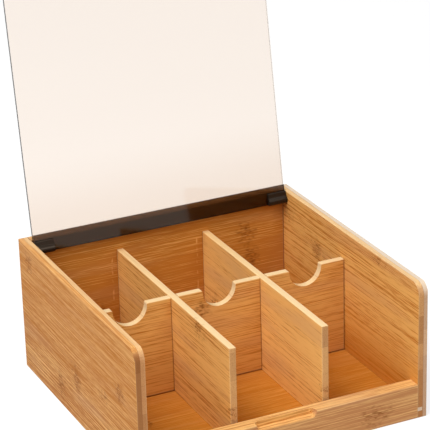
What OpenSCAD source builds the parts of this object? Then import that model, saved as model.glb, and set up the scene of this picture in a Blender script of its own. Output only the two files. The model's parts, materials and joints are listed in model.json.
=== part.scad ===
// Tea bag organizer box: six wells behind a low front rail, under a folded clear lid.
// X runs to the right, Y to the back and Z up. The origin is the middle of the front rail's
// underside, on the surface that the box stands on.
// The lid is drawn open, leaning on the back board, and it shuts by turning about +X.

/* [Box] */
// Width over both sides
box_w = 240; // [180:1:320]
// Depth from front to back
box_d = 230; // [170:1:320]
// Height of the sides and the back board
box_h = 112; // [104:1:160]
// Thickness of the sides
side_t = 8; // [7:0.5:12]
// Thickness of the back board
back_t = 9; // [7:0.5:14]
// Radius of the rounded front corner of each side
corner_r = 10; // [4:1:16]
// Radius of the sanded edges
edge_r = 0.8; // [0.3:0.1:1.2]

/* [Front rail] */
// Height of the rail
rail_h = 28.5; // [27:0.5:45]
// Thickness of the rail
rail_t = 12; // [11:0.5:16]
// Length of the finger pocket in its top edge
pocket_w = 50; // [30:1:80]
// How far the pocket reaches in from the front
pocket_in = 6.5; // [4.5:0.5:8]
// How far the pocket reaches down
pocket_down = 5; // [4.5:0.5:6]
// Radius of the pocket's ends
pocket_r = 4.5; // [2:0.5:4.5]

/* [Base board] */
// Thickness of the base board
base_t = 3; // [2.5:0.5:5]
// Height of its underside above the table
base_lift = 6; // [4:0.5:8]
// How far its edges reach into the grooves
base_tongue = 4; // [2.5:0.5:5]

/* [Dividers] */
// Thickness of the dividers
divider_t = 5.8; // [4:0.2:8]
// Height of the dividers above the base board
divider_h = 80; // [60:1:84]
// Depth of the three front wells
front_well_d = 103; // [70:1:120]
// How far the two long dividers stand to the right of even spacing
lattice_shift = 1.6; // [-4:0.2:4]
// Gap between the rail and the long dividers
divider_gap = 2; // [0.5:0.5:6]
// Radius of the finger scoops
scoop_r = 14.2; // [10:0.2:20]
// Distance between the middles of the finger scoops
scoop_step = 75.5; // [72:0.5:78]
// How far the scoops stand to the right of the box's middle
scoop_shift = 1.2; // [-4:0.2:4]
// How far the straight upper sides of each scoop reach down
scoop_drop = 1.6; // [1.5:0.1:6]
// Radius of the corners beside each scoop
scoop_lip_r = 1.4; // [0.5:0.1:1.5]

/* [Lid] */
// Thickness of the clear sheet
lid_t = 3; // [2:0.5:3.5]
// Outer radius of the fold between top and front
fold_r = 8; // [5:1:14]
// How far the front of the shut lid lies behind the front of the box
lid_inset = 2; // [0.5:0.5:4]
// Width of the dark hinge strip under the rear edge
strip_w = 15; // [13:0.5:30]
// Thickness of the hinge strip
strip_t = 1; // [0.5:0.25:1.5]

/* [Hinge] */
// From the pin's axis back to the back board
hinge_back = 5.6; // [5.4:0.1:7]
// From the top of the sides down to the pin's axis
hinge_drop = 6.7; // [6:0.1:9]
// From the pin's axis up to the top face of the shut lid
hinge_rise = 4.4; // [4.2:0.1:4.7]
// How far the lid reaches past the pin's axis
lid_tail = 2.8; // [2.6:0.1:4.4]
// Rounding of the lid's rear edge
tail_r = 2.5; // [1.5:0.25:3]
// Diameter of the hinge barrel
barrel_d = 7; // [6.5:0.5:9]
// Length of each hinge block
block_l = 16.5; // [12:0.5:30]
// Length of the block's leaf in front of the axis
leaf_l = 7; // [5.5:0.5:11]
// Thickness of the leaf
leaf_t = 2; // [1:0.25:3]
// Diameter of the hinge pin
pin_d = 4; // [3:0.5:5]
// How far the pin reaches into the side
pin_l = 5; // [3:0.5:6]

/* [Dowels] */
// Diameter of the dowels
dowel_d = 4; // [3:0.5:5]
// Length of the dowels
dowel_l = 20; // [14:1:30]
// How far each dowel reaches into the side
dowel_in = 5; // [3:0.5:6]
// Height of the lower rail dowel
rail_dowel_z = 13.5; // [13:0.5:14.5]
// Height of the lowest back dowel
back_dowel_z = 22; // [18:1:30]
// Number of dowels at each end of the back board
back_dowels_n = 3; // [2:1:3]
// Spacing of the back dowels
back_dowel_step = 32; // [20:1:34]

/* [Fits] */
// Running clearance round the hinge pin
pin_fit = 0.05; // [0.02:0.01:0.1]
// Clearance round a dowel
dowel_fit = 0.05; // [0.02:0.01:0.1]
// Clearance above the base board in its grooves
groove_fit = 0.1; // [0.05:0.05:0.3]
// Gap left past the end of a groove, a dowel or a pin
end_gap = 0.4; // [0.2:0.1:0.8]
// Clearance on each side of a half-lap slot
slot_fit = 0.25; // [0.05:0.05:0.3]
// Gap under and at both ends of the cross divider
cross_gap = 0.6; // [0.2:0.1:0.8]
// Gap between the lid and each side
lid_side_gap = 0.5; // [0.4:0.1:1.5]
// Gap between each hinge block and its side
block_gap = 0.3; // [0.2:0.1:0.4]
// Gap over the rail under the shut lid
lid_rest_gap = 0.3; // [0.2:0.1:0.8]
// Gap between the open lid and the back board
lid_stop_gap = 0.15; // [0.1:0.05:0.3]

/* [Hidden] */

bamboo = [0.82, 0.60, 0.36];
bamboo_warm = [0.80, 0.54, 0.27];
bamboo_light = [0.90, 0.71, 0.45];
clear_rose = [0.95, 0.90, 0.86, 0.55];
smoke_brown = [0.20, 0.14, 0.11, 0.92];
black_plastic = [0.07, 0.07, 0.08];

inner_w = box_w - 2 * side_t;
front_y = -rail_t / 2;
back_y = front_y + box_d;
rail_back_y = front_y + rail_t;
inner_back_y = back_y - back_t;
floor_z = base_lift + base_t;
cut = 1; // overshoot of a cut past the face that it opens

well_w = (inner_w - 2 * divider_t) / 3;
well_step = well_w + divider_t;
cross_y = rail_back_y + front_well_d;
divider_front_y = rail_back_y + divider_gap;
divider_l = inner_back_y - divider_front_y;
cross_w = inner_w - 2 * cross_gap;
lap_w = divider_t + 2 * slot_fit;
lap_h = divider_h / 2;

hinge_y = inner_back_y - hinge_back;
hinge_z = box_h - hinge_drop;
lid_w = inner_w - 2 * lid_side_gap;
lid_front = front_y + lid_inset - hinge_y;
lid_lip = rail_h + lid_rest_gap - hinge_z;
sheet_under = hinge_rise - lid_t;
strip_under = sheet_under - strip_t;
block_end = inner_w / 2 - block_gap;

// The open lid stops where its outer face meets the rounded inner edge of the back board
stop_y = hinge_back + edge_r;
stop_z = hinge_drop - edge_r;
stop_reach = hinge_rise + lid_stop_gap + edge_r;
open_angle = 90 + acos(stop_reach / norm([stop_y, stop_z])) - atan2(stop_z, stop_y);

dowel_seat_x = inner_w / 2 + dowel_in;
rail_dowel_y = front_y + rail_t / 2;
back_dowel_y = back_y - back_t / 2;
rail_dowel_zs = [rail_dowel_z, rail_dowel_z + 2 * dowel_d];
back_dowel_zs = [for (k = [0 : back_dowels_n - 1]) back_dowel_z + k * back_dowel_step];

$fn = 64;

// Square corner waste outside a round corner of radius r, for a corner at the origin
module corner_waste(r) {
    difference() {
        translate([-cut, -cut])
            square(r + cut);
        translate([r, r])
            circle(r);
    }
}

// Rectangle from the origin with radii for its corners: near left, near right, far right, far left
module eased_rect(size, radii) {
    corners = [[0, 0], [size[0], 0], size, [0, size[1]]];
    difference() {
        square(size);
        for (k = [0 : 3])
            if (radii[k] > 0)
                translate(corners[k])
                    rotate(90 * k)
                        corner_waste(radii[k]);
    }
}

// Extrudes a (Y, Z) section along X from x to x + length
module along_x(x, length) {
    translate([x, 0, 0])
        rotate([90, 0, 90])
            linear_extrude(length)
                children();
}

// Extrudes an (X, Z) section along Y from y to y + length
module along_y(y, length) {
    translate([0, y + length, 0])
        rotate([90, 0, 0])
            linear_extrude(length)
                children();
}

module all_eased(size) {
    eased_rect(size, [edge_r, edge_r, edge_r, edge_r]);
}

// Groove for an edge of the base board, cut from the box's inside outwards
module base_groove(x, y, w, d) {
    translate([x, y, base_lift])
        cube([w, d, base_t + groove_fit]);
}

// Dowels or their holes through the joint at the right-hand end of a cross board
module dowel_row(y, heights, d, extra) {
    for (z = heights)
        translate([dowel_seat_x - dowel_l - extra, y, z])
            rotate([0, 90, 0])
                cylinder(d = d, h = dowel_l + 2 * extra);
}

module dowel_holes(y, heights) {
    dowel_row(y, heights, dowel_d + 2 * dowel_fit, end_gap);
}

module both_ends() {
    children();
    mirror([1, 0, 0])
        children();
}

module side_outline() {
    translate([front_y, 0])
        eased_rect([box_d, box_h], [edge_r, edge_r, edge_r, corner_r]);
}

// Right-hand side; the left one is its mirror image
module side_board() {
    difference() {
        intersection() {
            along_x(inner_w / 2, side_t)
                side_outline();
            along_y(front_y, box_d)
                translate([inner_w / 2, 0])
                    all_eased([side_t, box_h]);
            linear_extrude(box_h)
                translate([inner_w / 2, front_y])
                    eased_rect([side_t, box_d], [0, edge_r, edge_r, 0]);
        }
        base_groove(inner_w / 2 - cut, front_y - cut, base_tongue + cut, box_d + 2 * cut);
        dowel_holes(rail_dowel_y, rail_dowel_zs);
        dowel_holes(back_dowel_y, back_dowel_zs);
        translate([inner_w / 2 - cut, hinge_y, hinge_z])
            rotate([0, 90, 0])
                cylinder(d = pin_d + 2 * pin_fit, h = pin_l + end_gap + cut);
    }
}

module right_side() {
    color(bamboo)
        side_board();
}

module left_side() {
    color(bamboo)
        mirror([1, 0, 0])
            side_board();
}

module back_board() {
    color(bamboo)
        difference() {
            along_x(-inner_w / 2, inner_w)
                translate([inner_back_y, 0])
                    all_eased([back_t, box_h]);
            base_groove(-box_w / 2, inner_back_y - cut, box_w, base_tongue + cut);
            both_ends()
                dowel_holes(back_dowel_y, back_dowel_zs);
        }
}

// Pocket whose ends are rounded both in front view and in plan
module finger_pocket() {
    intersection() {
        along_y(front_y - cut, pocket_in + cut)
            translate([-pocket_w / 2, rail_h - pocket_down])
                eased_rect([pocket_w, pocket_down + cut], [pocket_r, pocket_r, 0, 0]);
        linear_extrude(rail_h + cut)
            translate([-pocket_w / 2, front_y - cut])
                eased_rect([pocket_w, pocket_in + cut], [0, 0, pocket_r, pocket_r]);
    }
}

module front_rail() {
    color(bamboo)
        difference() {
            along_x(-inner_w / 2, inner_w)
                translate([front_y, 0])
                    all_eased([rail_t, rail_h]);
            base_groove(-box_w / 2, rail_back_y - base_tongue, box_w, base_tongue + cut);
            finger_pocket();
            both_ends()
                dowel_holes(rail_dowel_y, rail_dowel_zs);
        }
}

module base_board() {
    half_w = inner_w / 2 + base_tongue - end_gap;
    near_y = rail_back_y - base_tongue + end_gap;
    far_y = inner_back_y + base_tongue - end_gap;
    color(bamboo_warm)
        translate([-half_w, near_y, base_lift])
            cube([2 * half_w, far_y - near_y, base_t]);
}

// Slips that fill the open ends of the side grooves, flush with the ends of the sides
module groove_plugs() {
    front_l = rail_t - base_tongue;
    back_l = back_t - base_tongue;
    color(bamboo_light)
        both_ends()
            for (end = [[front_y, front_l], [back_y - back_l, back_l]])
                translate([inner_w / 2, end[0], base_lift])
                    cube([base_tongue, end[1], base_t]);
}

module long_divider_outline() {
    translate([divider_front_y, floor_z])
        difference() {
            eased_rect([divider_l, divider_h], [0, 0, 0, edge_r]);
            translate([cross_y - slot_fit - divider_front_y, -cut])
                square([lap_w, lap_h + cut]);
        }
}

// Divider from the back board almost to the rail, slotted from below; x is its middle
module long_divider(x) {
    left = x - divider_t / 2;
    color(bamboo_light)
        intersection() {
            along_x(left, divider_t)
                long_divider_outline();
            along_y(divider_front_y, divider_l)
                translate([left, floor_z])
                    eased_rect([divider_t, divider_h], [0, 0, edge_r, edge_r]);
            linear_extrude(box_h)
                translate([left, divider_front_y])
                    eased_rect([divider_t, divider_l], [edge_r, edge_r, 0, 0]);
        }
}

module left_divider() {
    long_divider(lattice_shift - well_step / 2);
}

module right_divider() {
    long_divider(lattice_shift + well_step / 2);
}

// Scoop cut down from the origin: round below, straight above and rounded outwards at its lips
module scoop() {
    translate([0, -scoop_drop])
        circle(scoop_r);
    translate([-scoop_r, -scoop_drop])
        square([2 * scoop_r, scoop_drop + cut]);
    for (side = [-1, 1])
        difference() {
            translate([side * scoop_r - (side < 0 ? scoop_lip_r : cut), -scoop_lip_r])
                square(cut + scoop_lip_r);
            translate([side * (scoop_r + scoop_lip_r), -scoop_lip_r])
                circle(scoop_lip_r);
        }
}

module cross_divider_outline() {
    difference() {
        translate([-cross_w / 2, floor_z + cross_gap])
            square([cross_w, divider_h - cross_gap]);
        for (k = [-1 : 1])
            translate([scoop_shift + k * scoop_step, floor_z + divider_h])
                scoop();
        for (k = [-1, 1])
            translate([lattice_shift + k * well_step / 2 - lap_w / 2, floor_z + lap_h])
                square([lap_w, divider_h]);
    }
}

module cross_divider() {
    color(bamboo_light)
        intersection() {
            along_y(cross_y, divider_t)
                cross_divider_outline();
            along_x(-cross_w / 2, cross_w)
                translate([cross_y, floor_z])
                    eased_rect([divider_t, divider_h], [0, 0, edge_r, edge_r]);
        }
}

module rail_dowels() {
    color(bamboo_light)
        both_ends()
            dowel_row(rail_dowel_y, rail_dowel_zs, dowel_d, 0);
}

module back_dowels() {
    color(bamboo_light)
        both_ends()
            dowel_row(back_dowel_y, back_dowel_zs, dowel_d, 0);
}

// Turns what is drawn shut, with the hinge axis at the origin, to its open place on the box
module opened() {
    translate([0, hinge_y, hinge_z])
        rotate([-open_angle, 0, 0])
            children();
}

// Section of the folded sheet: top, quarter-round fold and hanging front
module sheet_section() {
    fold_y = lid_front + fold_r;
    fold_z = hinge_rise - fold_r;
    translate([fold_y, sheet_under])
        eased_rect([lid_tail - fold_y, lid_t], [0, 0, tail_r, 0]);
    translate([lid_front, lid_lip])
        square([lid_t, fold_z - lid_lip]);
    translate([fold_y, fold_z])
        intersection() {
            difference() {
                circle(fold_r);
                circle(fold_r - lid_t);
            }
            translate([-fold_r, 0])
                square(fold_r);
        }
}

module lid_sheet() {
    color(clear_rose)
        opened()
            along_x(-lid_w / 2, lid_w)
                sheet_section();
}

module hinge_strip() {
    color(smoke_brown)
        opened()
            along_x(-lid_w / 2, lid_w)
                translate([lid_tail - strip_w, strip_under])
                    square([strip_w, strip_t]);
}

// Barrel cut flat where it is glued to the strip, with a leaf along the strip
module block_section() {
    intersection() {
        circle(d = barrel_d);
        translate([-barrel_d, -barrel_d])
            square([2 * barrel_d, barrel_d + strip_under]);
    }
    translate([-leaf_l, strip_under - leaf_t])
        square([leaf_l, leaf_t]);
}

// Round pin, cut back where its root lies inside the block so that it clears the strip
module hinge_pin() {
    difference() {
        translate([block_end - cut, 0, 0])
            rotate([0, 90, 0])
                cylinder(d = pin_d, h = cut + block_gap + pin_l);
        translate([block_end - 2 * cut, -pin_d, strip_under])
            cube([2 * cut, 2 * pin_d, pin_d]);
    }
}

// Right-hand hinge block with its moulded pin; the left one is its mirror image
module hinge_block() {
    along_x(block_end - block_l, block_l)
        block_section();
    hinge_pin();
}

module right_hinge_block() {
    color(black_plastic)
        opened()
            hinge_block();
}

module left_hinge_block() {
    color(black_plastic)
        opened()
            mirror([1, 0, 0])
                hinge_block();
}

left_side();
right_side();
back_board();
front_rail();
base_board();
groove_plugs();
left_divider();
right_divider();
cross_divider();
rail_dowels();
back_dowels();
lid_sheet();
hinge_strip();
left_hinge_block();
right_hinge_block();
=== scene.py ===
"""Finishes for the tea bag organizer box: pressed bamboo boards, a folded clear lid with a smoked
strip, black hinge blocks and a pale studio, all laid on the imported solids."""

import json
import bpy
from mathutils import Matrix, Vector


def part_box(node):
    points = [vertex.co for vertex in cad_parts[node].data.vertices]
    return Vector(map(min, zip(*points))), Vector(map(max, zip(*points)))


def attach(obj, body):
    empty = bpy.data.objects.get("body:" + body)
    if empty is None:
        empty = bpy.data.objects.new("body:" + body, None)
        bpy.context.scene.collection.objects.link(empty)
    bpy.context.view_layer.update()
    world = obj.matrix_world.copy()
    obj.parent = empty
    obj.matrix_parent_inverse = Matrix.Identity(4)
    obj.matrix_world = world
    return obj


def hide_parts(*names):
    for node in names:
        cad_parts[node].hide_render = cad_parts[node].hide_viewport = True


bl_info = {
    "name": "Tea Box Finishes",
    "version": (1, 0, 0),
    "blender": (4, 5, 0),
    "location": "3D View > Sidebar > Tea Box",
    "description": "Bamboo, clear lid, hinge and studio for the tea bag organizer box",
    "category": "Object",
}

import bpy
import numpy as np
from bpy.props import FloatProperty, FloatVectorProperty, PointerProperty
from bpy.types import Operator, Panel, PropertyGroup
from mathutils import Euler, Matrix, Vector

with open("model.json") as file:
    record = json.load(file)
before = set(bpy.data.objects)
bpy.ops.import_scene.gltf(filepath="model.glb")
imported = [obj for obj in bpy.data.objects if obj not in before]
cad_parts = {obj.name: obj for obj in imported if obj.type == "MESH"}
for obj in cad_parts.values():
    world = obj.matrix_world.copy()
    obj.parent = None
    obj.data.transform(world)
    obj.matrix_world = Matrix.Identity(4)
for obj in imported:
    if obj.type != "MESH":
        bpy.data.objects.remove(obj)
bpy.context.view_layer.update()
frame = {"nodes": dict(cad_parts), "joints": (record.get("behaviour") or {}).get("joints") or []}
LID_JOINT = frame["joints"][0]
RAIL_LOW, RAIL_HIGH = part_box("front_rail")
MM = 1000  # millimetres in a metre


def limits(node):
    """The low and the high corner of a solid's box, in millimetres to a micrometre."""
    return [[round(part * MM, 3) for part in corner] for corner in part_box(node)]


def srgb(red, green, blue):
    """Linear light of a colour written as 0 to 255: c / 12.92 near black, else ((c + .055) / 1.055)
    raised to 2.4."""
    share = np.array([red, green, blue]) / 255
    return tuple(np.where(share <= 0.04045, share / 12.92, ((share + 0.055) / 1.055) ** 2.4).tolist())


def colour(name, description, value):
    return FloatVectorProperty(
        name=name, description=description, subtype="COLOR", size=3, min=0, max=1, default=srgb(*value)
    )


def length(name, description, millimetres):
    return FloatProperty(
        name=name, description=description, unit="LENGTH", min=0, precision=4, default=millimetres / MM
    )


def power(name, description, watts):
    return FloatProperty(name=name, description=description, unit="POWER", min=0, default=watts)


# ---------------------------------------------------------------- settings


class BambooSettings(PropertyGroup):
    light: colour("Light fibre", "Colour of the pale fibres on a board's face", (238, 184, 108))
    dark: colour("Dark fibre", "Colour of the dark fibres on a board's face", (185, 117, 53))
    knot: colour("Growth node", "Colour of the dashes where the cane had a growth node", (124, 64, 16))
    pale: colour("Sanded edge", "Colour of sawn and sanded edges and of rubbed arrises", (233, 204, 156))
    # Painted halation: the pale glow of the bright background along the right side's top edge and end and on
    # the plugs' ends
    chalk: colour("Chalky cane", "Colour of the right side's and the plugs' chalky edges", (220, 201, 180))
    # This colour also carries the painted bounce light that a board's foot adds towards the base
    warm: colour("Warm lacquer", "Colour that the lacquered boards lean to", (196, 121, 32))
    dry: colour("Dry bamboo", "Colour that dry patches, end grain and the rail lean to", (196, 148, 110))
    brown: colour("Brown ply", "Colour that a ply tends to on its end grain", (152, 98, 54))
    # This colour also paints the shade in the corners where boards meet, with the glue there
    glue: colour("Glue line", "Colour of the glue between strips, plies and boards", (112, 44, 10))
    strip: length("Strip width", "Width of the bamboo strips that are glued side by side", 22.4)
    streak: length("Streak width", "Width of the clearest streaks in the grain", 0.62)
    roughness: FloatProperty(
        name="Roughness",
        description="Roughness of the waxed faces",
        subtype="FACTOR",
        min=0,
        max=1,
        default=0.5,
    )
    relief: length("Relief", "Depth of the grain's relief", 0.14)


class LidSettings(PropertyGroup):
    sheet: length("Sheet", "Thickness of the clear sheet", 3)
    fold: length("Fold", "Outer radius of the fold between top and front", 8)
    inset: length("Setback", "From the front of the box back to the front of the shut lid", 2)
    rest: length("Rest gap", "Gap over the rail under the shut lid", 0.3)
    side_gap: length("Side gap", "Gap between the lid and each side", 0.5)
    rise: length("Rise", "From the hinge axis up to the top of the shut lid", 4.4)
    tail: length("Tail", "How far the lid reaches past the hinge axis", 2.8)
    tail_round: length("Tail rounding", "Rounding of the lid's rear edge", 2.5)
    polish: length("Polish", "Rounding that flame polishing leaves on the sheet's arrises", 0.35)
    strip_width: length("Hinge strip width", "Width of the smoked strip under the rear edge", 15)
    strip: length("Hinge strip", "Thickness of the smoked strip", 1)
    strip_soft: length("Strip rounding", "Rounding of the smoked strip's arrises", 0.18)
    strip_over: length("Gap over strip", "Gap between the strip and the sheet", 0.03)
    strip_under: length("Gap under strip", "Gap between the strip and the hinge blocks", 0.02)
    tint: colour("Clear tint", "Colour of light that has passed through the sheet", (251, 239, 230))
    depth: colour("Depth tint", "Colour that light takes on deep inside the sheet", (120, 190, 150))
    gleam: colour("Gleam", "Colour of what the dark plastics mirror", (255, 226, 200))
    # Painted shade: the clear tint darkens towards the hinge, for the darker surroundings seen through the
    # sheet there
    haze: colour("Hinge end tint", "Colour that the clear tint deepens to towards the hinge", (240, 223, 210))
    smoke: colour("Smoked tint", "Colour of light that has passed through the strip", (100, 91, 88))


class HingeSettings(PropertyGroup):
    barrel: length("Barrel", "Diameter of the hinge barrel", 7)
    block: length("Block", "Length of each hinge block", 16.5)
    leaf: length("Leaf", "How far the leaf reaches in front of the axis", 7)
    leaf_sheet: length("Leaf thickness", "Thickness of the leaf", 2)
    gap: length("Block gap", "Gap between each block and its side", 0.3)
    soft: length("Block rounding", "Rounding of the blocks' and the pins' arrises", 0.4)
    nook: length("Nook", "Radius of the hollow between leaf and barrel", 0.5)
    pin: length("Pin", "Diameter of the hinge pin", 4)
    pin_reach: length("Pin reach", "How far the pin reaches into the side", 5)
    plastic: colour("Plastic", "Colour of the moulded plastic", (26, 20, 15))


class StudioSettings(PropertyGroup):
    floor: colour("Floor", "Colour that the floor throws back onto the box", (200, 197, 194))
    room: FloatProperty(
        name="Room light", description="Even light from all round", min=0, max=2, default=0.34
    )
    key: power("Key lamp", "Power of the large lamp above", 40)
    front: power("Front lamp", "Power of the lamp in front", 11)
    lens: FloatProperty(
        name="Focal length",
        description="Focal length on a frame 36 mm wide",
        subtype="DISTANCE_CAMERA",
        min=1,
        default=175.82,
    )


class TeaBoxSettings(PropertyGroup):
    bamboo: PointerProperty(type=BambooSettings)
    lid: PointerProperty(type=LidSettings)
    hinge: PointerProperty(type=HingeSettings)
    studio: PointerProperty(type=StudioSettings)


# ---------------------------------------------------------------- shader writing

BLACK = (0.0, 0.0, 0.0)


class Wire:
    """A node's output that takes Python's operators, each of which adds one Math node."""

    def __init__(self, finish, socket):
        self.finish = finish
        self.socket = socket

    def __add__(self, other):
        return self.finish.math("ADD", self, other)

    __radd__ = __add__

    def __sub__(self, other):
        return self.finish.math("SUBTRACT", self, other)

    def __rsub__(self, other):
        return self.finish.math("SUBTRACT", other, self)

    def __mul__(self, other):
        return self.finish.math("MULTIPLY", self, other)

    __rmul__ = __mul__

    def __truediv__(self, other):
        return self.finish.math("DIVIDE", self, other)

    def __rtruediv__(self, other):
        return self.finish.math("DIVIDE", other, self)

    def __abs__(self):
        return self.finish.math("ABSOLUTE", self)


class Finish:
    """The nodes of one material or world. They come from node(), and the arithmetic from Wire."""

    def __init__(self, owner):
        owner.use_nodes = True
        self.owner = owner
        self.tree = owner.node_tree
        self.tree.nodes.clear()

    def node(self, kind, settings=(), inputs=(), output=0):
        """One node: its settings first, then each input's value or Wire. Returns one output as a Wire, or
        nothing for the node that ends the tree."""
        made = self.tree.nodes.new(kind)
        for key, value in dict(settings).items():
            setattr(made, key, value)
        for key, value in dict(inputs).items():
            if isinstance(value, Wire):
                self.tree.links.new(value.socket, made.inputs[key])
            else:
                made.inputs[key].default_value = value
        return Wire(self, made.outputs[output]) if made.outputs else None

    def finished(self, **shaders):
        """Ends the tree and gives back its material or world."""
        kind = "World" if isinstance(self.owner, bpy.types.World) else "Material"
        self.node("ShaderNodeOutput" + kind, {}, shaders)
        return self.owner

    def math(self, operation, *values):
        return self.node("ShaderNodeMath", {"operation": operation}, dict(enumerate(values)))

    def larger(self, first, second):
        return self.math("MAXIMUM", first, second)

    def smaller(self, first, second):
        return self.math("MINIMUM", first, second)

    def rise(self, value, low, high, full=1.0, base=0.0):
        """base below low, full above high, and a smooth S between them."""
        return self.node(
            "ShaderNodeMapRange",
            {"interpolation_type": "SMOOTHSTEP"},
            {"Value": value, "From Min": low, "From Max": high, "To Min": base, "To Max": full},
        )

    def fall(self, value, low, high, full=1.0):
        """full below low, 0 above high, and a smooth S between them."""
        return self.rise(value, low, high, full=0.0, base=full)

    def blend(self, share, first, second):
        """Colour that goes from first to second as share goes from 0 to 1."""
        return self.node(
            "ShaderNodeMix", {"data_type": "RGBA"}, {0: share, 6: paint(first), 7: paint(second)}, output=2
        )

    def vector(self, operation, *values, output=0):
        inputs = dict(enumerate(values))
        return self.node("ShaderNodeVectorMath", {"operation": operation}, inputs, output=output)

    def size(self, vector):
        return self.vector("LENGTH", vector, output=1)

    def scaled(self, vector, factor):
        return self.node("ShaderNodeVectorMath", {"operation": "SCALE"}, {0: vector, "Scale": factor})

    def parts(self, vector):
        """The three parts of a vector, as Wires."""
        split = self.node("ShaderNodeSeparateXYZ", {}, {0: vector})
        return [Wire(self, socket) for socket in split.socket.node.outputs]

    def joined(self, x, y, z):
        return self.node("ShaderNodeCombineXYZ", {}, {0: x, 1: y, 2: z})

    def noise(self, place, cells=1.0, detail=0.0, output=0):
        """Soft noise about .5 on average, with so many cells to the unit."""
        return self.node(
            "ShaderNodeTexNoise", {}, {"Vector": place, "Scale": cells, "Detail": detail}, output=output
        )

    def place(self, output="Object"):
        return self.node("ShaderNodeTexCoord", output=output)

    def spot(self):
        """The place on the piece, in millimetres."""
        return self.scaled(self.place(), MM)

    def principled(self, inputs):
        return self.node("ShaderNodeBsdfPrincipled", {}, inputs)


def paint(value):
    """A colour socket's value: a Wire as it is, or three numbers with full alpha."""
    return value if isinstance(value, Wire) else (*value, 1.0)


def material(name):
    return bpy.data.materials.new(name)


# ---------------------------------------------------------------- how the boards are laid up

AXES = {"X": 0, "Y": 1, "Z": 2}

# Faces of the solids where boards meet, in millimetres
LEFT_WALL = limits("left_side")[1][0]
RIGHT_WALL = limits("right_side")[0][0]
BACK_WALL = limits("back_board")[0][1]
RAIL_BACK = limits("front_rail")[1][1]
BASE_TOP = limits("base_board")[1][2]
LEFT_DIVIDER, RIGHT_DIVIDER = [
    [corner[0] for corner in limits(node)] for node in ("left_divider", "right_divider")
]
CROSS_LOW, CROSS_HIGH = limits("cross_divider")
LAP_LINE = 0.2  # from a long divider's left face to its dark line of glue and painted shade on the cross divider

# What a board has unless its own entry says otherwise
PLAIN = {
    "plies": 1,  # how many plies are glued face to face, 1 or 2
    "tone": 0.0,  # makes the fibres lighter, or darker below 0
    "contrast": 1.0,  # scales the fibres' differences in tone
    "strips": 0.4,  # how far the strips' chance tones lie apart
    "gloss": 0.12,  # specular level of the wax
    "shade": 0.0,  # painted shade: how far the faces go to black
    "bright": 0.0,  # tone added where something is cut into the board's thickness
    "warm": 0.0,  # how far the board goes warm
    "foot": 0.0,  # painted bounce light: added to warm towards the base, for the light thrown up from below, less warm below 0
    "dry": 0.0,  # how far the faces go dry
    "tops": (0.12, 0.12),  # how far the long edges go pale, on the low or only ply and on the high one
    "fade": 0.0,  # share of that pale that is lost towards the back
    "ends": (0.2, 0.2),  # how far the end grain goes brown, on the low or only ply and on the high one
    "sanded": 0.0,  # how far the end grain goes pale
    "chalk": (0.0, 0.0),  # painted halation: how far long edges and end grain go pale with the bright background's glow, on the high or only ply
    "seams": (),  # dark lines of glue and painted shade in the corners where another board touches this one, from the seam function below
    "beads": (),  # places along the fibres where pale broken beads of dried glue stand upright
    "knots": (),  # growth nodes: middle, and half sizes along, through and across the board
}


class Board:
    """One bamboo board, in millimetres. grain, stack and depth are the axes that its fibres follow, that
    its strips lie side by side along, and that goes through it. The low ply is the one with the lower
    coordinate on depth. joint is the place of one joint between strips and seed picks the chance numbers.
    PLAIN tells what else a board can have."""

    def __init__(self, grain, stack, depth, joint, seed, **more):
        self.axes = [AXES[letter] for letter in (grain, stack, depth)]
        self.joint = joint
        self.seed = seed
        for key, usual in PLAIN.items():
            setattr(self, key, more.get(key, usual))


def shaded_seam(dark=0.75, **planes):
    """A dark line of glue and painted corner shade along the line in which two planes meet, such as X=-112
    and Y=215, and how dark it is.
    """
    return [(AXES[axis], place) for axis, place in planes.items()], dark


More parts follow.
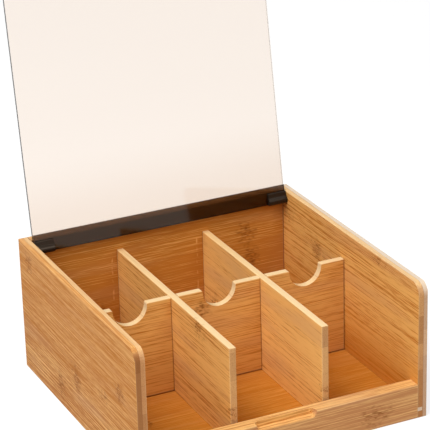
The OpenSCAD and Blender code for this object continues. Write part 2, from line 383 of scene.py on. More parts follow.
BOARDS = {
    # Painted shade darkens its faces
    "left_side": Board(
        "Y", "Z", "X", 4.7, 3.1, plies=2, tone=-0.2, warm=0.5, foot=-0.5, tops=(0.14, 0.55), ends=(0.62, 0.0),
        shade=0.09, seams=[shaded_seam(X=LEFT_WALL, Y=BACK_WALL)],
        knots=(
            ((-120, 111, 38), (8, 4, 12)),
            ((-120, 145, 18), (8, 4, 13)),
            ((-120, 25, 65), (10, 4, 8)),
            ((-120, 56, 48), (11, 4, 3)),
            ((-120, 203, 99), (7, 4, 8)),
            ((-112, 70, 97), (7, 4, 9)),
            ((-112, 176, 60), (7, 4, 10)),
        ),
    ),
    # Painted halation on its top edge and end, the bright background's pale glow
    "right_side": Board(
        "Y", "Z", "X", 18.2, 8.7, plies=2, tone=0.48, warm=0.25, foot=0.6, tops=(0.6, 0.9), ends=(0.1, 0.0),
        contrast=1.4, chalk=(0.9, 0.34), seams=[shaded_seam(X=RIGHT_WALL, Y=BACK_WALL)],
        knots=(
            ((112, 56, 108.5), (9, 4, 3)),
            ((112, 155, 79), (10, 4, 9)),
            ((112, 203, 95), (8, 4, 9)),
            ((120, 38, 30), (8, 4, 11)),
            ((120, 128, 52), (8, 4, 11)),
            ((120, 180, 88), (8, 4, 10)),
        ),
    ),
    "back_board": Board(
        "X", "Z", "Y", 4.0, 5.9, plies=2, tone=-0.42, warm=0.46, tops=(0.2, 0.3), gloss=0.07, strips=0.8,
        seams=[
            shaded_seam(Y=BACK_WALL, X=LEFT_WALL),
            shaded_seam(Y=BACK_WALL, X=RIGHT_WALL),
            shaded_seam(Y=BACK_WALL, Z=BASE_TOP),
        ],
        beads=(-44.2, 31.6),
        knots=(
            ((77, 215, 79), (9, 4, 11)),
            ((80, 215, 56), (8, 4, 11)),
            ((-58, 215, 36), (8, 4, 10)),
            ((-84, 224, 62), (9, 4, 11)),
            ((12, 224, 30), (9, 4, 11)),
            ((66, 224, 84), (9, 4, 11)),
        ),
    ),
    "front_rail": Board(
        "X", "Z", "Y", -9.0, 2.3, tone=-0.22, dry=0.4, tops=(0.1, 0.1), bright=0.4, contrast=0.78,
        seams=[shaded_seam(Y=RAIL_BACK, Z=BASE_TOP)],
        knots=(((75, -6, 12), (13, 4, 9)), ((-52, -6, 15), (10, 4, 8)), ((20, 6, 18), (9, 4, 8))),
    ),
    "base_board": Board(
        "X", "Y", "Z", 31.0, 6.4, tone=-0.29, warm=0.72, gloss=0.04,
        seams=[
            *[shaded_seam(Z=BASE_TOP, Y=place) for place in (RAIL_BACK, BACK_WALL, CROSS_LOW[1])],
            *[
                shaded_seam(0.3, Z=BASE_TOP, X=place)
                for place in (RIGHT_WALL, LEFT_WALL, LEFT_DIVIDER[0], RIGHT_DIVIDER[0])
            ],
        ],
        knots=(((-84, 70, 9), (7, 3, 9)), ((60, 180, 9), (7, 3, 9))),
    ),
    # Painted halation on the plugs' ends, the bright background's pale glow
    "groove_plugs": Board("Y", "X", "Z", 0.0, 1.7, tone=0.35, ends=(0.0, 0.0), chalk=(0.0, 0.75)),
    "left_divider": Board(
        "Y", "Z", "X", 40.0, 4.2, tone=0.5, warm=0.13, foot=0.05, tops=(0.92, 0.92), ends=(0.06, 0.06),
        fade=0.4, seams=[shaded_seam(X=place, Y=BACK_WALL) for place in LEFT_DIVIDER],
        knots=(((-40, 60, 83), (11, 3.2, 7)), ((-37.5, 8, 37), (5, 3, 5)), ((-34, 150, 40), (7, 3, 9))),
    ),
    "right_divider": Board(
        "Y", "Z", "X", 27.0, 9.4, tone=0.8, warm=0.04, foot=0.05, tops=(0.92, 0.92), ends=(0.06, 0.06),
        fade=0.5, seams=[shaded_seam(X=place, Y=BACK_WALL) for place in RIGHT_DIVIDER],
        knots=(((39, 8, 36), (5, 3, 5)), ((36, 196, 33), (7, 3, 8)), ((42, 84, 62), (7, 3, 9))),
    ),
    "cross_divider": Board(
        "X", "Z", "Y", 33.5, 7.3, tone=0.44, warm=0.33, foot=0.1, tops=(0.92, 0.92), ends=(0.0, 0.0),
        sanded=0.85, gloss=0.07,
        seams=[
            shaded_seam(Z=CROSS_LOW[2], Y=CROSS_LOW[1]),
            *[
                shaded_seam(0.5, X=place, Y=CROSS_LOW[1])
                for place in (
                    CROSS_LOW[0], CROSS_HIGH[0], LEFT_DIVIDER[0] - LAP_LINE, RIGHT_DIVIDER[0] - LAP_LINE
                )
            ],
        ],
        knots=(((-14, 109, 73), (8, 3, 6)), ((88, 115, 40), (7, 3, 9)), ((-80, 115, 62), (7, 3, 8))),
    ),
    "rail_dowels": Board("X", "Z", "Y", 0.0, 1.1, tone=0.3),
    "back_dowels": Board("X", "Z", "Y", 0.0, 1.9, tone=0.3),
}


# ---------------------------------------------------------------- bamboo

# Where something sets in, where it ends and, as a third number, how far it goes at its fullest.
# Distances are in millimetres, the rest are shares or the chance numbers and noises between 0 and 1.
END_TURN = (0.55, 0.95)  # a face's turn towards the fibres' axis, from long side to end grain
PLY_STEP = (-0.02, 0.02)  # across the joint between two plies
PLY_GLUE = (0.05, 0.22, 0.35)  # away from that joint
STRIP_GLUE = (0.489, 0.5)  # from the middle of a strip to its joints, in strip widths
DARK_LINE = (0.3, 0.42, 0.32)  # noise under which a thin dark line runs
BLUSH = (0.5, 0.75, 0.3)  # noise over which a face goes dry in patches
CUT_DEPTH = (0.6, 1.6)  # from a face into the board's thickness
BASE_HEIGHT = (0, 75)  # height over which the painted bounce light at the base fades
BACKWARDS = (60, 260)  # way to the back over which the long edges lose their pale
BROWN_STRIP = (0.6, 0.8, 0.4)  # chance number over which a strip's end is brown
END_PORES = (0.55, 0.7, 0.2)  # noise over which end grain shows pores
NODE_REACH = (0.2, 1.4)  # from a growth node's middle, in its own half sizes
NODE_DASH = (0.44, 0.64, 0.6)  # noise over which a growth node shows a dash
SHADED_SEAM_REACH = (0.25, 0.75)  # away from the line where another board touches, over which its glue and painted shade fade
BEAD_REACH = (0.3, 1.0)  # away from a bead's middle line
BEAD_HALF = (20, 26)  # up and down from the beads' middle height
BEAD_BREAKS = (0.42, 0.75, 0.5)  # noise over which a bead is whole
ARRIS_REACH = (0.3, 1.2, 0.12)  # away from an arris

STRAY = 1.6  # how far the fibres and the joint between plies wander, in millimetres
PLY_WAVES = 0.04  # waves of that joint to the millimetre
FIBRE_WAVES = (0.012, 0.05)  # waves of the fibres to the millimetre, along and across the grain
BLUSH_CELLS = (0.011, 0.06)  # dry patches to the millimetre, along and across the grain
BLUSH_SEED = 20  # keeps the dry patches apart from the fibres' waves
NODE_CELLS = 0.25  # how fine a growth node's border is shaken, in cells to the millimetre
NODE_SHAKE = 12  # how far, in millimetres
NODE_CLOUD = 0.2  # how far the cloud of a growth node goes to its colour
DASH_CELLS = (0.2, 0.95)  # dashes to the millimetre, along and across the grain
BEAD_MIDDLE = 62  # height of the beads' middle, in millimetres
BEAD_CELLS = (0.5, 0.22)  # breaks in a bead to the millimetre, along the grain and upright
CHANCE_SHIFT = 700  # how far chance moves a strip's fibres along, in millimetres
END_DRY = 0.5  # how far end grain goes dry
STRIP_GLUE_SHARE = 0.3  # how far the joints between strips go to the glue's colour

# The fibres' noises, drawn out along the grain. Each has its cells to the millimetre along the grain,
# its cells across it to half the streak width, its detail and its weight in the tone. The clouds don't
# follow the streak width, so theirs across the grain are to the millimetre too.
CLOUDS = (0.008, 0.18, 1.0, 0.7)
FIBRES = {
    "streaks": (0.009, 1.0, 1.0, 1.3),
    "hairs": (0.018, 1.8, 0.0, 3.0),
    "pores": (0.1, 1.9, 0.0, 1.5),
}
LINE_CELLS = (0.005, 1.3, 1.0)  # for the thin dark lines, the third through the board
MIDDLE_TONE = 0.54  # tone of a strip where all noises stand at their average

# How roughness and relief follow the tone, the growth nodes' dashes, the end grain and the joints
ROUGH_TONE, ROUGH_NODE, ROUGH_END = 0.12, 0.1, 0.12
HIGH_TONE, DEEP_JOINT, DEEP_NODE = 0.5, 0.6, 0.12
RELIEF_STRENGTH = 0.5


class Bamboo(Finish):
    """Pressed bamboo for one board. Each strip takes a chance tone and its own stretch of fibres: noises
    that are drawn out along the grain, with thin dark lines where another runs lowest. Edges, joints,
    plies, growth nodes, glue with painted shade in the corners, painted shade and bounce light on the faces,
    painted halation and rubbed arrises come over that, each as a blend into self.tint."""

    def __init__(self, node, settings, board):
        super().__init__(material("bamboo_" + node))
        self.settings = settings
        self.board = board
        low, high = [np.array(corner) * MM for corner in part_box(node)]
        self.middle = ((low + high) / 2).tolist()
        self.half = ((high - low) / 2).tolist()
        self.here = self.spot()
        self.xyz = self.parts(self.here)
        self.along, self.across, self.through = [self.xyz[axis] for axis in board.axes]
        normal = self.parts(self.place("Normal"))
        end, self.top = [abs(normal[axis]) for axis in board.axes[:2]]
        self.end = self.rise(end, *END_TURN)

    def lean(self, share, tint):
        """Takes the tint so far towards another."""
        self.tint = self.blend(share, self.tint, tint)

    def by_ply(self, pair):
        """The first of two numbers on the low or only ply, and the second on the high one."""
        first, second = pair
        return self.ply * (second - first) + first

    def lay_up(self):
        """Parts the board into plies, with a wandering line of glue between two, and the plies into
        strips, each with a chance number of its own."""
        board = self.board
        self.ply = 0.0
        if board.plies == 2:
            wander = self.noise(self.joined(self.along * PLY_WAVES, board.seed, 0.0)) - 0.5
            beyond = self.through - self.middle[board.axes[2]] + wander * STRAY
            self.ply = self.rise(beyond, *PLY_STEP)
            self.ply_glue = self.fall(abs(beyond), *PLY_GLUE)
        row = (self.across - board.joint) / (self.settings.strip * MM) + self.ply * 0.5
        strip = self.math("FLOOR", row)
        key = self.joined(strip, self.ply, board.seed)
        self.chance = self.node("ShaderNodeTexWhiteNoise", {"noise_dimensions": "3D"}, {"Vector": key})
        self.strip_glue = self.rise(abs(row - strip - 0.5), *STRIP_GLUE)

    def fibre_noise(self, along, across, through, detail=0.0):
        """Noise with so many cells to the millimetre along the grain, across it and through the board."""
        stretched = self.joined(self.drift * along, self.bent * across, self.through * through)
        return self.noise(stretched, detail=detail)

    def grow_fibres(self):
        """The fibres' tone, 0 for dark and 1 for light, and the tint that follows from it. The fibres are
        the sum of the clouds and of FIBRES' noises, each by its weight, less the thin dark lines."""
        board = self.board
        along, across = FIBRE_WAVES
        waves = self.noise(self.joined(self.along * along, self.across * across, board.seed))
        self.bent = self.across + (waves - 0.5) * STRAY
        self.drift = self.along + self.chance * CHANCE_SHIFT
        tight = 0.5 / (self.settings.streak * MM)

        along, across, detail, weight = CLOUDS
        fibres = (self.fibre_noise(along, across, across, detail) - 0.5) * weight
        noises = {}
        for name, (along, across, detail, weight) in FIBRES.items():
            noises[name] = self.fibre_noise(along, tight * across, tight * across, detail)
            fibres = fibres + (noises[name] - 0.5) * weight
        self.hairs = noises["hairs"]
        along, across, through = LINE_CELLS
        line = self.fall(self.fibre_noise(along, tight * across, tight * through), *DARK_LINE)
        tone = (fibres - line) * board.contrast + (self.chance - 0.5) * board.strips

        self.cut = self.top
        if board.bright:
            depth = self.half[board.axes[2]] - abs(self.through - self.middle[board.axes[2]])
            self.cut = self.larger(self.top, self.rise(depth, *CUT_DEPTH))
        self.tone = tone + (MIDDLE_TONE + board.tone) + self.cut * board.bright
        self.tint = self.blend(self.tone, self.settings.dark, self.settings.light)

    def tint_faces(self):
        """Lets patches of the faces go dry, and the whole board warm, dry or dark. The darkening of the faces
        is painted shade, and the change of warmth towards the base is painted bounce light.
        """
        board, settings = self.board, self.settings
        along, across = BLUSH_CELLS
        blush = self.noise(self.joined(self.along * along, self.across * across, board.seed + BLUSH_SEED))
        self.lean(self.rise(blush, *BLUSH), settings.dry)
        # Painted bounce light: foot changes the warmth towards the base, for the light thrown up from below;
        # warm is the board's own lean
        if board.warm or board.foot:
            self.lean(self.fall(self.xyz[2], *BASE_HEIGHT, board.foot) + board.warm, settings.warm)
        if board.dry:
            self.lean((1 - self.cut) * board.dry, settings.dry)
        # Painted shade: the faces, but not the tops and cuts, go towards black
        if board.shade:
            self.lean((1 - self.cut) * board.shade, BLACK)

    def tint_edges(self):
        """Long edges, end grain, painted halation and the glue between plies and strips."""
        board, settings = self.board, self.settings
        worn = self.top * self.by_ply(board.tops)
        if board.fade:
            worn = worn * (1 - self.rise(self.xyz[1], *BACKWARDS, board.fade))
        self.lean(worn, settings.pale)
        self.lean(self.end * END_DRY, settings.dry)
        self.lean(self.end * (self.by_ply(board.ends) + self.rise(self.chance, *BROWN_STRIP)), settings.brown)
        self.lean(self.end * self.rise(self.hairs, *END_PORES), settings.knot)
        if board.sanded:
            self.lean(self.end * board.sanded, settings.pale)
        # Painted halation: the bright background's pale glow on long edges and end grain
        if any(board.chalk):
            edges, ends = board.chalk
            haloed = self.top * edges + self.end * ends
            self.lean(haloed * self.ply if board.plies == 2 else haloed, settings.chalk)
        if board.plies == 2:
            self.lean((self.end + self.top) * self.ply_glue, settings.glue)
        self.lean(self.strip_glue * STRIP_GLUE_SHARE, settings.glue)

    def add_growth_nodes(self):
        """A soft brown cloud about each growth node, with short dark dashes in it."""
        board = self.board
        self.dashes = 0.0
        if not board.knots:
            return
        average = (0.5, 0.5, 0.5)
        ragged = self.vector("SUBTRACT", self.noise(self.here, NODE_CELLS, output=1), average)
        shaken = self.vector("ADD", self.here, self.scaled(ragged, NODE_SHAKE))
        cloud = 0.0
        for centre, (half_along, half_through, half_across) in board.knots:
            halves = [0, 0, 0]
            for axis, half in zip(board.axes, (half_along, half_across, half_through)):
                halves[axis] = half
            apart = self.vector("DIVIDE", self.vector("SUBTRACT", shaken, centre), halves)
            cloud = self.larger(self.fall(self.size(apart), *NODE_REACH), cloud)
        along, across = DASH_CELLS
        place = self.joined(self.along * along + board.seed, self.bent * across, self.through * across)
        start, whole, share = NODE_DASH
        self.dashes = cloud * self.rise(self.noise(place, detail=1.0), start, whole)
        self.lean(cloud * NODE_CLOUD + self.dashes * share, self.settings.knot)

    def add_glue(self):
        """Dark lines of glue and painted shade in the corners where other boards meet this one, and pale
        broken beads of dried glue.
        """
        # Painted shade: the corners where other boards meet this one go dark, with the glue there
        for planes, dark in self.board.seams:
            apart = self.larger(*[abs(self.xyz[axis] - place) for axis, place in planes])
            self.lean(self.fall(apart, *SHADED_SEAM_REACH, dark), self.settings.glue)
        along, upright = BEAD_CELLS
        for place in self.board.beads:
            beside = (1 - self.ply) * self.fall(abs(self.along - place), *BEAD_REACH)
            level = self.fall(abs(self.xyz[2] - BEAD_MIDDLE), *BEAD_HALF)
            broken = self.noise(self.joined(self.along * along, place, self.xyz[2] * upright))
            self.lean(beside * level * self.rise(broken, *BEAD_BREAKS), self.settings.light)

    def rub_arrises(self):
        """Arrises rubbed pale. The middle one of the distances to the faces is the distance to an arris."""
        near = [self.half[i] - abs(part - self.middle[i]) for i, part in enumerate(self.xyz)]
        lesser, greater = self.smaller(near[0], near[1]), self.larger(near[0], near[1])
        apart = self.larger(lesser, self.smaller(greater, near[2]))
        self.lean(self.fall(apart, *ARRIS_REACH), self.settings.pale)

    def wax(self):
        """Ends the material: the tint under wax, with the fibres and joints in relief."""
        rough = (0.5 - self.tone) * ROUGH_TONE + self.dashes * ROUGH_NODE + self.end * ROUGH_END
        height = self.tone * HIGH_TONE - self.strip_glue * DEEP_JOINT - self.dashes * DEEP_NODE
        relief = {"Strength": RELIEF_STRENGTH, "Distance": self.settings.relief, "Height": height}
        waxed = {
            "Base Color": self.tint,
            "Roughness": self.settings.roughness + rough,
            "Specular IOR Level": self.board.gloss,
            "Normal": self.node("ShaderNodeBump", {}, relief),
        }
        return self.finished(Surface=self.principled(waxed))

    def written(self):
        """The whole material, from the plies up to the wax."""
        self.lay_up()
        self.grow_fibres()
        self.tint_faces()
        self.tint_edges()
        self.add_growth_nodes()
        self.add_glue()
        self.rub_arrises()
        return self.wax()


# ---------------------------------------------------------------- plastics

ACRYLIC_IOR = 1.49
HINGE_SHADE_REACH = (10, 75)  # millimetres before the hinge over which the painted shade in the tint clears
DEPTH_DENSITY = 10.0  # how fast the sheet colours light by depth, for each metre
EDGE_SHADOW_BAND = (1.0, 0.2)  # millimetres before the rear edge where the painted shadow sets in and where it is full
EDGE_SHADOW_WAVER = 0.8  # how far that stretch wavers, in millimetres
EDGE_SHADOW_BLACK = 0.95  # how far the painted shadow goes to black
STRIP_MIRROR = 0.24  # specular level of the smoked strip
BLOCK_MIRROR = 0.3  # specular level of the moulded plastic
BLOCK_CLOUDS = 1.6  # how much lighter its colour gets in the clouds
SATIN = {"Strength": 0.3, "Distance": 0.05 / MM}  # relief of its grain
# Cells of noise to the millimetre, roughness where it is 0 and what it adds where it is 1
WIPING = (0.02, 0.015, 0.03)
SMEARS = (0.08, 0.02, 0.06)
GRAIN = (3.5, 0.16, 0.2)
CLOUD_CELLS = 0.4  # clouds in the moulded plastic to the millimetre


def behind_hinge(finish, spot):
    """How far a spot of the lid lies behind the hinge axis, in millimetres along the sheet, which the
    rest place turns by the open angle."""
    place, turn = hinge_line()
    away = finish.vector("SUBTRACT", spot, (0.0, place[0] * MM, place[1] * MM))
    return finish.vector("DOT_PRODUCT", away, (0.0, np.cos(turn).item(), -np.sin(turn).item()), output=1)


def clear_sheet(lid):
    """Clear acrylic: a glassy wall with wiping marks, a tint that deepens towards the hinge as painted shade
    for the darker surroundings seen through it there, and a colour taken by depth that its edges show.
    Shadow rays and diffuse rays pass straight through both faces, each with the root of the tint, so that
    the light under the shut lid is right and counts once."""
    finish = Finish(material("clear_acrylic"))
    spot = finish.spot()
    before = 0 - behind_hinge(finish, spot)
    cells, clean, wiped = WIPING
    wipe = finish.noise(spot, cells, detail=2.0)
    glass = {
        # Painted shade: the tint deepens towards the hinge
        "Base Color": finish.blend(finish.rise(before, *HINGE_SHADE_REACH), lid.haze, lid.tint),
        "Roughness": clean + wipe * wiped,
        "IOR": ACRYLIC_IOR,
        "Transmission Weight": 1.0,
    }
    root = paint([part**0.5 for part in lid.tint])
    kinds = ("Is Shadow Ray", "Is Diffuse Ray")
    passing = finish.larger(*[finish.node("ShaderNodeLightPath", output=kind) for kind in kinds])
    straight = finish.node("ShaderNodeBsdfTransparent", {}, {"Color": root})
    shaders = {0: passing, 1: finish.principled(glass), 2: straight}
    within = {"Color": paint(lid.depth), "Density": DEPTH_DENSITY}
    return finish.finished(
        Surface=finish.node("ShaderNodeMixShader", {}, shaders),
        Volume=finish.node("ShaderNodeVolumeAbsorption", {}, within),
    )


def smoked_strip(lid):
    """Smoked clear plastic, with painted shadow along its rear edge: a black line for the shaded gap
    between the lid's tail and the back board.
    """
    finish = Finish(material("smoked_plastic"))
    spot = finish.spot()
    cells, clean, smeared = SMEARS
    smear = finish.noise(spot, cells, detail=2.0)
    # Painted shadow: the strip goes black along its rear edge, for the shaded gap between the lid's tail and
    # the back board
    behind = behind_hinge(finish, spot) + smear * EDGE_SHADOW_WAVER
    glue = finish.rise(behind, *[lid.tail * MM - before for before in EDGE_SHADOW_BAND], EDGE_SHADOW_BLACK)
    smoke = {
        "Base Color": finish.blend(glue, lid.smoke, BLACK),
        "Roughness": clean + smear * smeared,
        "IOR": ACRYLIC_IOR,
        "Specular IOR Level": STRIP_MIRROR,
        "Specular Tint": paint(lid.gleam),
        "Transmission Weight": 1.0,
    }
    return finish.finished(Surface=finish.principled(smoke))


def moulded_plastic(hinge, gleam):
    """Black moulded plastic with a fine satin grain and faint clouds."""
    finish = Finish(material("moulded_plastic"))
    spot = finish.spot()
    cells, smooth, grained = GRAIN
    grain = finish.noise(spot, cells, detail=2.0)
    cloud = finish.noise(spot, CLOUD_CELLS, detail=1.0)
    paler = tuple(part * BLOCK_CLOUDS for part in hinge.plastic)
    black = {
        "Base Color": finish.blend(cloud, hinge.plastic, paler),
        "Roughness": smooth + grain * grained,
        "Specular IOR Level": BLOCK_MIRROR,
        "Specular Tint": paint(gleam),
        "Normal": finish.node("ShaderNodeBump", {}, {**SATIN, "Height": grain}),
    }
    return finish.finished(Surface=finish.principled(black))


# ---------------------------------------------------------------- shapes

# Points on the arcs of the outlines, and rings on each rounded end
ARRIS_POINTS = 5
STRIP_POINTS = 4
TAIL_POINTS = 9
FOLD_POINTS = 17
BARREL_POINTS = 33
PIN_POINTS = 32
END_RINGS = 5


def arc(centre, radius, start, end, count, inside=False):
    """Points on a circle from angle start to end, in degrees, with the way out at each: the radius's own
    direction, or its reverse where the outline turns inwards."""
    angle = np.radians(np.linspace(start, end, count))
    way = np.stack([np.cos(angle), np.sin(angle)], axis=1)
    return np.array(centre) + radius * way, -way if inside else way


def outline(*arcs):
    """One closed outline of arcs that straight lines join."""
    return np.concatenate([points for points, _ in arcs]), np.concatenate([ways for _, ways in arcs])


def carried(name, section, start, end, ease, axis_place, turn):
    """A (Y, Z) outline carried along X. With a from 0 to 90 degrees near each end, the outline shrinks by
    ease * (1 - cos a) while X goes on by ease * sin a, which rounds the ends. It is then turned about X
    and moved to the hinge axis. Each point's normal is the outline's way out times cos a plus the way
    along X times sin a, so that flats shade flat and rounds shade round."""
    points, ways = section
    quarter = np.linspace(90, 0, END_RINGS)
    angle = np.radians(np.concatenate([quarter, quarter[::-1]]))[:, None]
    facing = np.repeat([-1.0, 1.0], END_RINGS)[:, None]
    foot = np.repeat([start + ease, end - ease], END_RINGS)[:, None]
    x = foot + facing * ease * np.sin(angle) + np.zeros(len(points))
    flat = points[None] - ways[None] * (ease * (1 - np.cos(angle)))[..., None]
    normal = ways[None] * np.cos(angle)[..., None]
    cosine, sine = np.cos(turn), np.sin(turn)
    turned = [
        (pair[..., 0] * cosine + pair[..., 1] * sine, pair[..., 1] * cosine - pair[..., 0] * sine)
        for pair in (flat, normal)
    ]
    y, z = turned[0][0] + axis_place[0], turned[0][1] + axis_place[1]
    rings, count = y.shape
    vertices = np.stack([x, y, z], axis=2).reshape(-1, 3)
    normals = np.stack([facing * np.sin(angle) + np.zeros(count), *turned[1]], axis=2).reshape(-1, 3)
    ring, place = np.meshgrid(np.arange(rings - 1), np.arange(count), indexing="ij")
    after = (place + 1) % count
    here, beyond = ring * count, (ring + 1) * count
    quads = np.stack([here + place, here + after, beyond + after, beyond + place], axis=2).reshape(-1, 4)
    caps = [list(range(count))[::-1], list(range((rings - 1) * count, rings * count))]
    mesh = bpy.data.meshes.new(name)
    mesh.from_pydata(vertices.tolist(), [], quads.tolist() + caps)
    mesh.update()
    mesh.shade_smooth()
    mesh.normals_split_custom_set_from_vertices(normals.tolist())
    piece = bpy.data.objects.new(name, mesh)
    bpy.context.scene.collection.objects.link(piece)
    return piece


def hinge_line():
    """The hinge axis as (Y, Z) in metres, and the angle in radians from shut to the open rest place."""
    return LID_JOINT["pos_m"][1:], np.radians(LID_JOINT["range_deg"][1])


def sheet_section(lid):
    """Top, quarter-round fold and hanging front of the sheet, shut, with the hinge axis at zero."""
    place, _ = hinge_line()
    front = RAIL_LOW.y + lid.inset - place[0]
    lip = RAIL_HIGH.z + lid.rest - place[1]
    top, under, tail, soft = lid.rise, lid.rise - lid.sheet, lid.tail, lid.polish
    inner = lid.fold - lid.sheet
    return outline(
        arc((front + soft, lip + soft), soft, 180, 270, ARRIS_POINTS),
        arc((front + lid.sheet - soft, lip + soft), soft, 270, 360, ARRIS_POINTS),
        arc((front + lid.fold, top - lid.fold), inner, 180, 90, FOLD_POINTS, inside=True),
        arc((tail - soft, under + soft), soft, 270, 360, ARRIS_POINTS),
        arc((tail - lid.tail_round, top - lid.tail_round), lid.tail_round, 0, 90, TAIL_POINTS),
        arc((front + lid.fold, top - lid.fold), lid.fold, 90, 180, FOLD_POINTS),
    )


def strip_section(lid):
    """The strip's rectangle under the sheet's rear edge, with hair's-breadth gaps for clean shading."""
    soft, under = lid.strip_soft, lid.rise - lid.sheet
    far, near = lid.tail - soft, lid.tail - lid.strip_width + soft
    high, low = under - lid.strip_over - soft, under - lid.strip + lid.strip_under + soft
    return outline(
        arc((near, low), soft, 180, 270, STRIP_POINTS),
        arc((far, low), soft, 270, 360, STRIP_POINTS),
        arc((far, high), soft, 0, 90, STRIP_POINTS),
        arc((near, high), soft, 90, 180, STRIP_POINTS),
    )


def block_section(lid, hinge):
    """Barrel cut flat under the strip, with a leaf in front. A small arc fills the nook between leaf and
    barrel: its centre lies one nook radius under the leaf and outside the barrel."""
    top = lid.rise - lid.sheet - lid.strip
    barrel, soft, nook = hinge.barrel / 2, hinge.soft, hinge.nook
    under = top - hinge.leaf_sheet
    drop = under - nook
    back = -np.sqrt((barrel + nook) ** 2 - drop**2)
    meet = np.degrees(np.arctan2(-drop, -back))
    rim = np.sqrt((barrel - soft) ** 2 - (top - soft) ** 2)
    lift = np.degrees(np.arctan2(top - soft, rim))
    return outline(
        arc((-hinge.leaf + soft, under + soft), soft, 180, 270, ARRIS_POINTS),
        arc((back, drop), nook, 90, meet, ARRIS_POINTS, inside=True),
        arc((0, 0), barrel, meet - 180, lift, BARREL_POINTS),
        arc((rim, top - soft), soft, lift, 90, ARRIS_POINTS),
        arc((-hinge.leaf + soft, top - soft), soft, 90, 180, ARRIS_POINTS),
    )


def pin_section(hinge):
    """A circle about the hinge axis, whose last point lies one step short of its first."""
    return outline(arc((0, 0), hinge.pin / 2, 0, 360 * (1 - 1 / PIN_POINTS), PIN_POINTS))


# ---------------------------------------------------------------- operators

# Rounding of the pieces' ends along X: a share of the polish for the sheet, else in millimetres
SHEET_EASE = 0.8
STRIP_EASE = 0.14
BLOCK_EASE = 0.3
PIN_ROOT = 0.1  # how far a pin starts inside its block, in millimetres


def settings_of(context):
    return context.scene.tea_box


def dress(node, surface):
    """Gives a CAD node's slots a finish."""
    for place in frame["nodes"][node].material_slots:
        place.material = surface


def dress_boards(context, *names):
    for name in names:
        dress(name, Bamboo(name, settings_of(context).bamboo, BOARDS[name]).written())
    return {"FINISHED"}


def settle(piece, surface, slot, *nodes):
    """Finishes a new piece of the lid: its material, which takes a slot, its body and the nodes that it
    replaces. The argument slot is not used.
    """
    piece.data.materials.append(surface)
    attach(piece, "lid")
    if nodes:
        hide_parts(*nodes)


def lid_piece(name, section, start, end, ease):
    """A piece of the lid: its outline carried from start to end and laid at the open rest place."""
    return carried(name, section, start, end, ease, *hinge_line())


class TEABOX_OT_sides(Operator):
    """Gives the two sides their two-ply bamboo"""

    bl_idname = "teabox.sides"
    bl_label = "Sides"

    def execute(self, context):
        return dress_boards(context, "left_side", "right_side")


class TEABOX_OT_back_board(Operator):
    """Gives the back board its bamboo"""

    bl_idname = "teabox.back_board"
    bl_label = "Back Board"

    def execute(self, context):
        return dress_boards(context, "back_board")


class TEABOX_OT_front_rail(Operator):
    """Gives the low front rail its bamboo"""

    bl_idname = "teabox.front_rail"
    bl_label = "Front Rail"

    def execute(self, context):
        return dress_boards(context, "front_rail")


class TEABOX_OT_base_board(Operator):
    """Gives the base board and the plugs of its grooves their bamboo"""

    bl_idname = "teabox.base_board"
    bl_label = "Base Board and Plugs"

    def execute(self, context):
        return dress_boards(context, "base_board", "groove_plugs")


class TEABOX_OT_dividers(Operator):
    """Gives the three dividers their bamboo with pale sanded edges"""

    bl_idname = "teabox.dividers"
    bl_label = "Dividers"

    def execute(self, context):
        return dress_boards(context, "left_divider", "right_divider", "cross_divider")


class TEABOX_OT_dowels(Operator):
    """Gives the dowels of the rail and the back board their bamboo"""

    bl_idname = "teabox.dowels"
    bl_label = "Dowels"

    def execute(self, context):
        return dress_boards(context, "rail_dowels", "back_dowels")


class TEABOX_OT_lid_sheet(Operator):
    """Makes the folded clear sheet with flame-polished edges"""

    bl_idname = "teabox.lid_sheet"
    bl_label = "Lid Sheet"

    def execute(self, context):
        lid = settings_of(context).lid
        end = RAIL_HIGH.x - lid.side_gap
        sheet = lid_piece("folded_sheet", sheet_section(lid), -end, end, lid.polish * SHEET_EASE)
        settle(sheet, clear_sheet(lid), "clear_acrylic", "lid_sheet")
        return {"FINISHED"}


class TEABOX_OT_hinge_strip(Operator):
    """Makes the smoked strip under the lid's rear edge"""

    bl_idname = "teabox.hinge_strip"
    bl_label = "Hinge Strip"

    def execute(self, context):
        lid = settings_of(context).lid
        end = RAIL_HIGH.x - lid.side_gap
        strip = lid_piece("smoked_strip", strip_section(lid), -end, end, STRIP_EASE / MM)
        settle(strip, smoked_strip(lid), "smoked_plastic", "hinge_strip")
        return {"FINISHED"}


class TEABOX_OT_hinge_blocks(Operator):
    """Makes the two moulded hinge blocks and their pins"""

    bl_idname = "teabox.hinge_blocks"
    bl_label = "Hinge Blocks"

    def execute(self, context):
        lid = settings_of(context).lid
        hinge = settings_of(context).hinge
        end = RAIL_HIGH.x - hinge.gap
        tip = RAIL_HIGH.x + hinge.pin_reach
        plastic = moulded_plastic(hinge, lid.gleam)
        for side, sign in (("left", -1), ("right", 1)):
            block_span = sorted((sign * (end - hinge.block), sign * end))
            pin_span = sorted((sign * (end - PIN_ROOT / MM), sign * tip))
            block = lid_piece("block_" + side, block_section(lid, hinge), *block_span, BLOCK_EASE / MM)
            pin = lid_piece("pin_" + side, pin_section(hinge), *pin_span, hinge.soft)
            settle(block, plastic, "black_plastic", side + "_hinge_block")
            settle(pin, plastic, "black_plastic")
        return {"FINISHED"}


# ---------------------------------------------------------------- studio, in metres and degrees

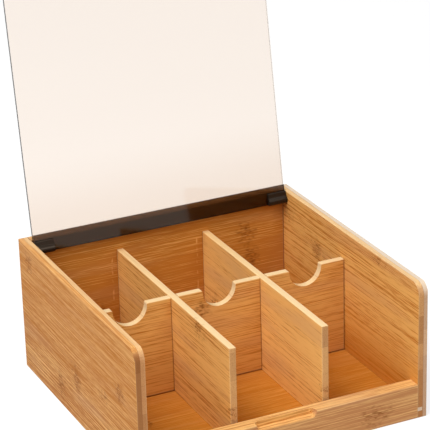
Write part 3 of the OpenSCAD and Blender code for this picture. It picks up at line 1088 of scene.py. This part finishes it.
LAMPS_FACE = (0, 0.11, 0.06)  # middle of the box, to which both lamps turn
KEY_PLACE, KEY_SIZE = (-1.05, -0.35, 1.7), 1.3
FRONT_PLACE, FRONT_SIZE = (0.3, -1.6, 1.3), 1.0
CAMERA_PLACE = (-0.626504, -1.232969, 0.764561)
CAMERA_TURN = (67.44454, 1.52755, -25.64236)
SENSOR_WIDTH = 36  # millimetres
FLOOR_HALF = 8  # from the floor's middle to its edges
FLOOR_DROP = 0.0002  # under the box's feet
FLOOR_CELLS = 3.0  # cells of the floor's faint grain to the metre
FLOOR_SHADES = (0.34, 0.36)  # range of the grey that takes the shadow
FLOOR_GLOW = (0.72, 0.84)  # even light of the seen floor, near the box and far from it
FLOOR_FAR = (0.4, 2.5)  # from the box, where the glow starts to rise and where it is full


def lamp(name, place, size, watts):
    """A soft square lamp at place, turned to face the box."""
    data = bpy.data.lights.new(name, "AREA")
    data.size = size
    data.energy = watts
    made = bpy.data.objects.new(name, data)
    made.location = place
    made.rotation_euler = (Vector(LAMPS_FACE) - Vector(place)).to_track_quat("-Z", "Y").to_euler()
    bpy.context.scene.collection.objects.link(made)


def seen(finish):
    """1 for what the camera sees, directly, mirrored or through the clear sheet, and 0 for lighting."""
    path = finish.node("ShaderNodeLightPath").socket.node.outputs
    rays = [Wire(finish, path[name]) for name in ("Is Camera Ray", "Is Glossy Ray", "Is Transmission Ray")]
    return finish.larger(finish.larger(rays[0], rays[1]), rays[2])


def grey_blend(finish, share, greys):
    """Goes from one grey to the other as share goes from 0 to 1."""
    return finish.blend(share, *[(grey,) * 3 for grey in greys])


def pale_floor(studio):
    """Pale floor. Where it is seen, a dim lit part keeps about a third of the shadow, and an even glow
    that rises away from the box brings it to white. Lighting meets the plain floor colour."""
    finish = Finish(material("studio_floor"))
    grain = finish.noise(finish.place(), FLOOR_CELLS, detail=2.0)
    far = finish.rise(finish.size(finish.place()), *FLOOR_FAR)
    plain = finish.node("ShaderNodeBsdfDiffuse", {}, {"Color": paint(studio.floor)})
    shade = finish.node("ShaderNodeBsdfDiffuse", {}, {"Color": grey_blend(finish, grain, FLOOR_SHADES)})
    glow = finish.node("ShaderNodeEmission", {}, {"Color": grey_blend(finish, far, FLOOR_GLOW)})
    lit = finish.node("ShaderNodeAddShader", {}, {0: shade, 1: glow})
    shaders = {0: seen(finish), 1: plain, 2: lit}
    return finish.finished(Surface=finish.node("ShaderNodeMixShader", {}, shaders))


def white_room(studio):
    """Even room light, and plain white where it is seen."""
    finish = Finish(bpy.data.worlds.new("studio_room"))
    share = seen(finish)
    light = {"Color": (1, 1, 1, 1), "Strength": share + (1 - share) * studio.room}
    return finish.finished(Surface=finish.node("ShaderNodeBackground", {}, light))


def floor_plane(studio):
    """A square a little under the box's feet."""
    signs = ((-1, -1), (1, -1), (1, 1), (-1, 1))
    mesh = bpy.data.meshes.new("floor")
    mesh.from_pydata([(x * FLOOR_HALF, y * FLOOR_HALF, -FLOOR_DROP) for x, y in signs], [], [(0, 1, 2, 3)])
    mesh.materials.append(pale_floor(studio))
    return bpy.data.objects.new("floor", mesh)


def stage_camera(studio):
    """The camera, at the front left of the box and above it."""
    camera = bpy.data.objects.new("camera", bpy.data.cameras.new("camera"))
    camera.data.lens = studio.lens
    camera.data.sensor_width = SENSOR_WIDTH
    turn = Euler(np.radians(CAMERA_TURN).tolist())
    camera.matrix_world = Matrix.LocRotScale(Vector(CAMERA_PLACE), turn, None)
    return camera


class TEABOX_OT_studio(Operator):
    """Sets up the pale floor, the room light, the lamps and the camera"""

    bl_idname = "teabox.studio"
    bl_label = "Studio"

    def execute(self, context):
        studio = settings_of(context).studio
        scene = context.scene
        floor = floor_plane(studio)
        scene.collection.objects.link(floor)
        scene.world = white_room(studio)
        lamp("key_lamp", KEY_PLACE, KEY_SIZE, studio.key)
        lamp("front_lamp", FRONT_PLACE, FRONT_SIZE, studio.front)
        camera = stage_camera(studio)
        scene.collection.objects.link(camera)
        scene.camera = camera
        scene.view_settings.view_transform = "Standard"
        return {"FINISHED"}


OPERATORS = (
    TEABOX_OT_sides,
    TEABOX_OT_back_board,
    TEABOX_OT_front_rail,
    TEABOX_OT_base_board,
    TEABOX_OT_dividers,
    TEABOX_OT_dowels,
    TEABOX_OT_lid_sheet,
    TEABOX_OT_hinge_strip,
    TEABOX_OT_hinge_blocks,
    TEABOX_OT_studio,
)


class TEABOX_PT_finishes(Panel):
    """Lists the tea box's pieces and their settings"""

    bl_idname = "TEABOX_PT_finishes"
    bl_label = "Tea Box"
    bl_space_type = "VIEW_3D"
    bl_region_type = "UI"
    bl_category = "Tea Box"

    def draw(self, context):
        layout = self.layout
        for step in OPERATORS:
            layout.operator(step.bl_idname)
        settings = settings_of(context)
        for group in (settings.bamboo, settings.lid, settings.hinge, settings.studio):
            column = layout.box().column()
            for name in group.__annotations__:
                column.prop(group, name)


CLASSES = (
    BambooSettings,
    LidSettings,
    HingeSettings,
    StudioSettings,
    TeaBoxSettings,
    *OPERATORS,
    TEABOX_PT_finishes,
)


def register():
    for cls in CLASSES:
        bpy.utils.register_class(cls)
    bpy.types.Scene.tea_box = PointerProperty(type=TeaBoxSettings)


def unregister():
    del bpy.types.Scene.tea_box
    for cls in reversed(CLASSES):
        bpy.utils.unregister_class(cls)


def main():
    """Builds everything in order."""
    register()
    for step in OPERATORS:
        group, name = step.bl_idname.split(".")
        getattr(getattr(bpy.ops, group), name)()


if __name__ == "__main__":
    main()
